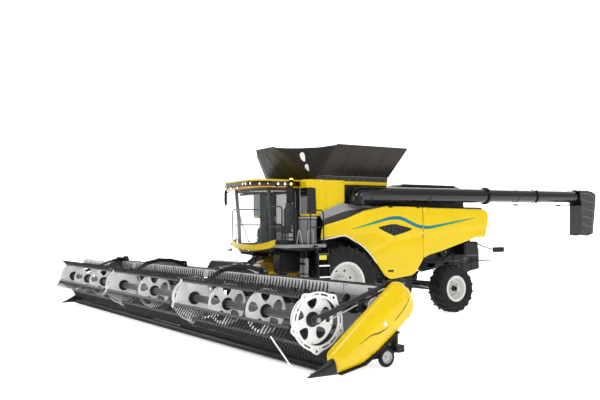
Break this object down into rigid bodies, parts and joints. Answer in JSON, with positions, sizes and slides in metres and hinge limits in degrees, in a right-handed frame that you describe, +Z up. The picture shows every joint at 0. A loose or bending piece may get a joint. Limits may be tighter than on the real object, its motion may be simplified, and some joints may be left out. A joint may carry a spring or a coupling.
{
  "type": "combine harvester",
  "caption": "Large self-propelled combine harvester with a wide draper header and reel, raised grain tank covers, folded unloading auger, glazed cab and steered rear axle.",
  "frame": {"origin": "on the ground under the middle of the whole machine's box", "axes": "+Z up, -Y towards the header at the front, +X towards the machine's left side with the ladder and unloading auger"},
  "size_m": [15.92, 16.7176, 4.88],
  "materials": {
    "yellow_paint": "gloss",
    "black_paint": "satin",
    "cast_grey": "matt",
    "dark_plastic": "matt",
    "clear_glass": "polished",
    "tyre_rubber": "matt",
    "white_paint": "satin",
    "belt_rubber": "matt",
    "bright_steel": "brushed",
    "cover_fabric": "woven, coated",
    "seat_fabric": "woven"
  },
  "bodies": {
    "chassis": {"main_frame": "black_paint", "separator_housing": "black_paint", "engine_block": "cast_grey", "front_axle": "black_paint", "rear_axle": "black_paint", "side_tanks": "dark_plastic", "grain_tank": "black_paint", "tank_corner_fabric": "cover_fabric", "fixed_side_panels": "yellow_paint", "engine_deck": "yellow_paint", "chopper_housing": "black_paint", "cab_floor": "dark_plastic", "cab_frame": "black_paint", "cab_roof": "yellow_paint", "cab_glass": "clear_glass", "operator_seat": "seat_fabric", "steering_column": "dark_plastic", "access_platform": "black_paint"},
    "cab_door": {"cab_door": "black_paint", "cab_door_glass": "clear_glass"},
    "ladder": {"access_ladder": "black_paint"},
    "left_panel": {"left_side_panel": "yellow_paint"},
    "right_panel": {"right_side_panel": "yellow_paint"},
    "left_cover": {"tank_cover_left": "dark_plastic"},
    "right_cover": {"tank_cover_right": "dark_plastic"},
    "front_cover": {"tank_cover_front": "dark_plastic"},
    "rear_cover": {"tank_cover_rear": "dark_plastic"},
    "auger": {"unloading_auger": "black_paint"},
    "spout": {"auger_spout": "dark_plastic"},
    "front_left_wheel": {"front_left_tyre": "tyre_rubber", "front_left_rim": "white_paint"},
    "front_right_wheel": {"front_right_tyre": "tyre_rubber", "front_right_rim": "white_paint"},
    "left_knuckle": {"steering_knuckle_left": "black_paint"},
    "right_knuckle": {"steering_knuckle_right": "black_paint"},
    "rear_left_wheel": {"rear_left_tyre": "tyre_rubber", "rear_left_rim": "white_paint"},
    "rear_right_wheel": {"rear_right_tyre": "tyre_rubber", "rear_right_rim": "white_paint"},
    "header": {"feeder_house": "yellow_paint", "header_adapter": "black_paint", "header_frame": "black_paint", "draper_belts": "belt_rubber", "cutter_bar": "bright_steel", "end_shields": "yellow_paint", "crop_dividers": "dark_plastic"},
    "header_gauge_wheels": {"gauge_wheels": "tyre_rubber"},
    "upper_cross_auger": {"cross_auger": "black_paint"},
    "reel_frame": {"reel_arms": "black_paint"},
    "reel": {"reel_tube_and_bats": "black_paint", "reel_discs": "white_paint"},
    "reel_cams": {"reel_cam_rings": "dark_plastic"},
    "lift_barrels": {"lift_cylinder_barrels": "black_paint"},
    "lift_rods": {"lift_cylinder_rods": "bright_steel"},
    "left_spreader": {"straw_spreader_left": "black_paint"},
    "right_spreader": {"straw_spreader_right": "black_paint"}
  },
  "joints": [
    {"name": "front_left_wheel_spin", "type": "hinge", "parent": "chassis", "child": "front_left_wheel", "pos_m": [1.64, -2.56, 1.05], "axis": [1, 0, 0], "continuous": true},
    {"name": "front_right_wheel_spin", "type": "hinge", "parent": "chassis", "child": "front_right_wheel", "pos_m": [-1.64, -2.56, 1.05], "axis": [1, 0, 0], "continuous": true},
    {"name": "rear_left_steer", "type": "hinge", "parent": "chassis", "child": "left_knuckle", "pos_m": [1.3, 1.49, 0.72], "axis": [0, 0, 1], "range_deg": [-30, 30]},
    {"name": "rear_right_steer", "type": "hinge", "parent": "chassis", "child": "right_knuckle", "pos_m": [-1.3, 1.49, 0.72], "axis": [0, 0, 1], "range_deg": [-30, 30]},
    {"name": "rear_left_wheel_spin", "type": "hinge", "parent": "left_knuckle", "child": "rear_left_wheel", "pos_m": [1.8, 1.49, 0.72], "axis": [1, 0, 0], "continuous": true},
    {"name": "rear_right_wheel_spin", "type": "hinge", "parent": "right_knuckle", "child": "rear_right_wheel", "pos_m": [-1.8, 1.49, 0.72], "axis": [1, 0, 0], "continuous": true},
    {"name": "feeder_lift", "type": "hinge", "parent": "chassis", "child": "header", "pos_m": [0, -3.08, 1.66], "axis": [-1, 0, 0], "range_deg": [0, 15]},
    {"name": "lift_cylinder_tilt", "type": "hinge", "parent": "chassis", "child": "lift_barrels", "pos_m": [0, -2.83, 0.98], "axis": [-1, 0, 0], "range_deg": [0, 13.6]},
    {"name": "lift_rod_slide", "type": "slide", "parent": "lift_barrels", "child": "lift_rods", "axis": [0, -0.9682, -0.2503], "range_m": [0, 0.1867]},
    {"name": "reel_lift", "type": "hinge", "parent": "header", "child": "reel_frame", "pos_m": [0, -5.42, 1.53], "axis": [-1, 0, 0], "range_deg": [0, 20]},
    {"name": "reel_spin", "type": "hinge", "parent": "reel_frame", "child": "reel", "pos_m": [0, -7.33, 0.98], "axis": [1, 0, 0], "continuous": true},
    {"name": "reel_cam_spin", "type": "hinge", "parent": "reel_frame", "child": "reel_cams", "pos_m": [0, -7.24, 0.94], "axis": [1, 0, 0], "continuous": true},
    {"name": "cross_auger_spin", "type": "hinge", "parent": "header", "child": "upper_cross_auger", "pos_m": [0, -5.78, 1.08], "axis": [1, 0, 0], "continuous": true},
    {"name": "gauge_wheel_spin", "type": "hinge", "parent": "header", "child": "header_gauge_wheels", "pos_m": [0, -5.77, 0.18], "axis": [1, 0, 0], "continuous": true},
    {"name": "cab_door_swing", "type": "hinge", "parent": "chassis", "child": "cab_door", "pos_m": [0.985, -3.57, 2.9], "axis": [0, 0, 1], "range_deg": [0, 80]},
    {"name": "ladder_swing", "type": "hinge", "parent": "chassis", "child": "ladder", "pos_m": [2.19, -3.66, 1.5], "axis": [0, 0, -1], "range_deg": [0, 100]},
    {"name": "left_panel_lift", "type": "hinge", "parent": "chassis", "child": "left_panel", "pos_m": [1.84, -1.36, 3.19], "axis": [0, -1, 0], "range_deg": [0, 70]},
    {"name": "right_panel_lift", "type": "hinge", "parent": "chassis", "child": "right_panel", "pos_m": [-1.84, -1.36, 3.19], "axis": [0, 1, 0], "range_deg": [0, 70]},
    {"name": "left_cover_fold", "type": "hinge", "parent": "chassis", "child": "left_cover", "pos_m": [1.47, -1.86, 4.06], "axis": [0, -1, 0], "range_deg": [0, 127.1], "deforming": ["tank_corner_fabric"]},
    {"name": "right_cover_fold", "type": "hinge", "parent": "chassis", "child": "right_cover", "pos_m": [-1.47, -1.86, 4.06], "axis": [0, 1, 0], "range_deg": [0, 127.1]},
    {"name": "front_cover_fold", "type": "hinge", "parent": "chassis", "child": "front_cover", "pos_m": [0, -3.02, 3.985], "axis": [-1, 0, 0], "range_deg": [0, 136.4]},
    {"name": "rear_cover_fold", "type": "hinge", "parent": "chassis", "child": "rear_cover", "pos_m": [0, -0.56, 3.985], "axis": [1, 0, 0], "range_deg": [0, 134.4]},
    {"name": "auger_swing", "type": "hinge", "parent": "chassis", "child": "auger", "pos_m": [1.66, -1.94, 3.3], "axis": [0, 0, -1], "range_deg": [0, 95]},
    {"name": "spout_tilt", "type": "hinge", "parent": "auger", "child": "spout", "pos_m": [1.75, 7.47, 3.81], "axis": [1, 0, 0], "range_deg": [0, 30]},
    {"name": "left_spreader_spin", "type": "hinge", "parent": "chassis", "child": "left_spreader", "pos_m": [0.4, 3.24, 1.15], "axis": [0, 0, 1], "continuous": true},
    {"name": "right_spreader_spin", "type": "hinge", "parent": "chassis", "child": "right_spreader", "pos_m": [-0.4, 3.24, 1.15], "axis": [0, 0, 1], "continuous": true}
  ],
  "couplings": [
    {"joint": "rear_right_steer", "follows": "rear_left_steer", "ratio": 1},
    {"joint": "lift_cylinder_tilt", "follows": "feeder_lift", "ratio": 0.9032},
    {"joint": "lift_rod_slide", "follows": "feeder_lift", "m_per_rad": 0.7055},
    {"joint": "reel_cam_spin", "follows": "reel_spin", "ratio": 1},
    {"joint": "right_cover_fold", "follows": "left_cover_fold", "ratio": 1},
    {"joint": "front_cover_fold", "follows": "left_cover_fold", "ratio": 1.0693},
    {"joint": "rear_cover_fold", "follows": "left_cover_fold", "ratio": 1.0534}
  ]
}
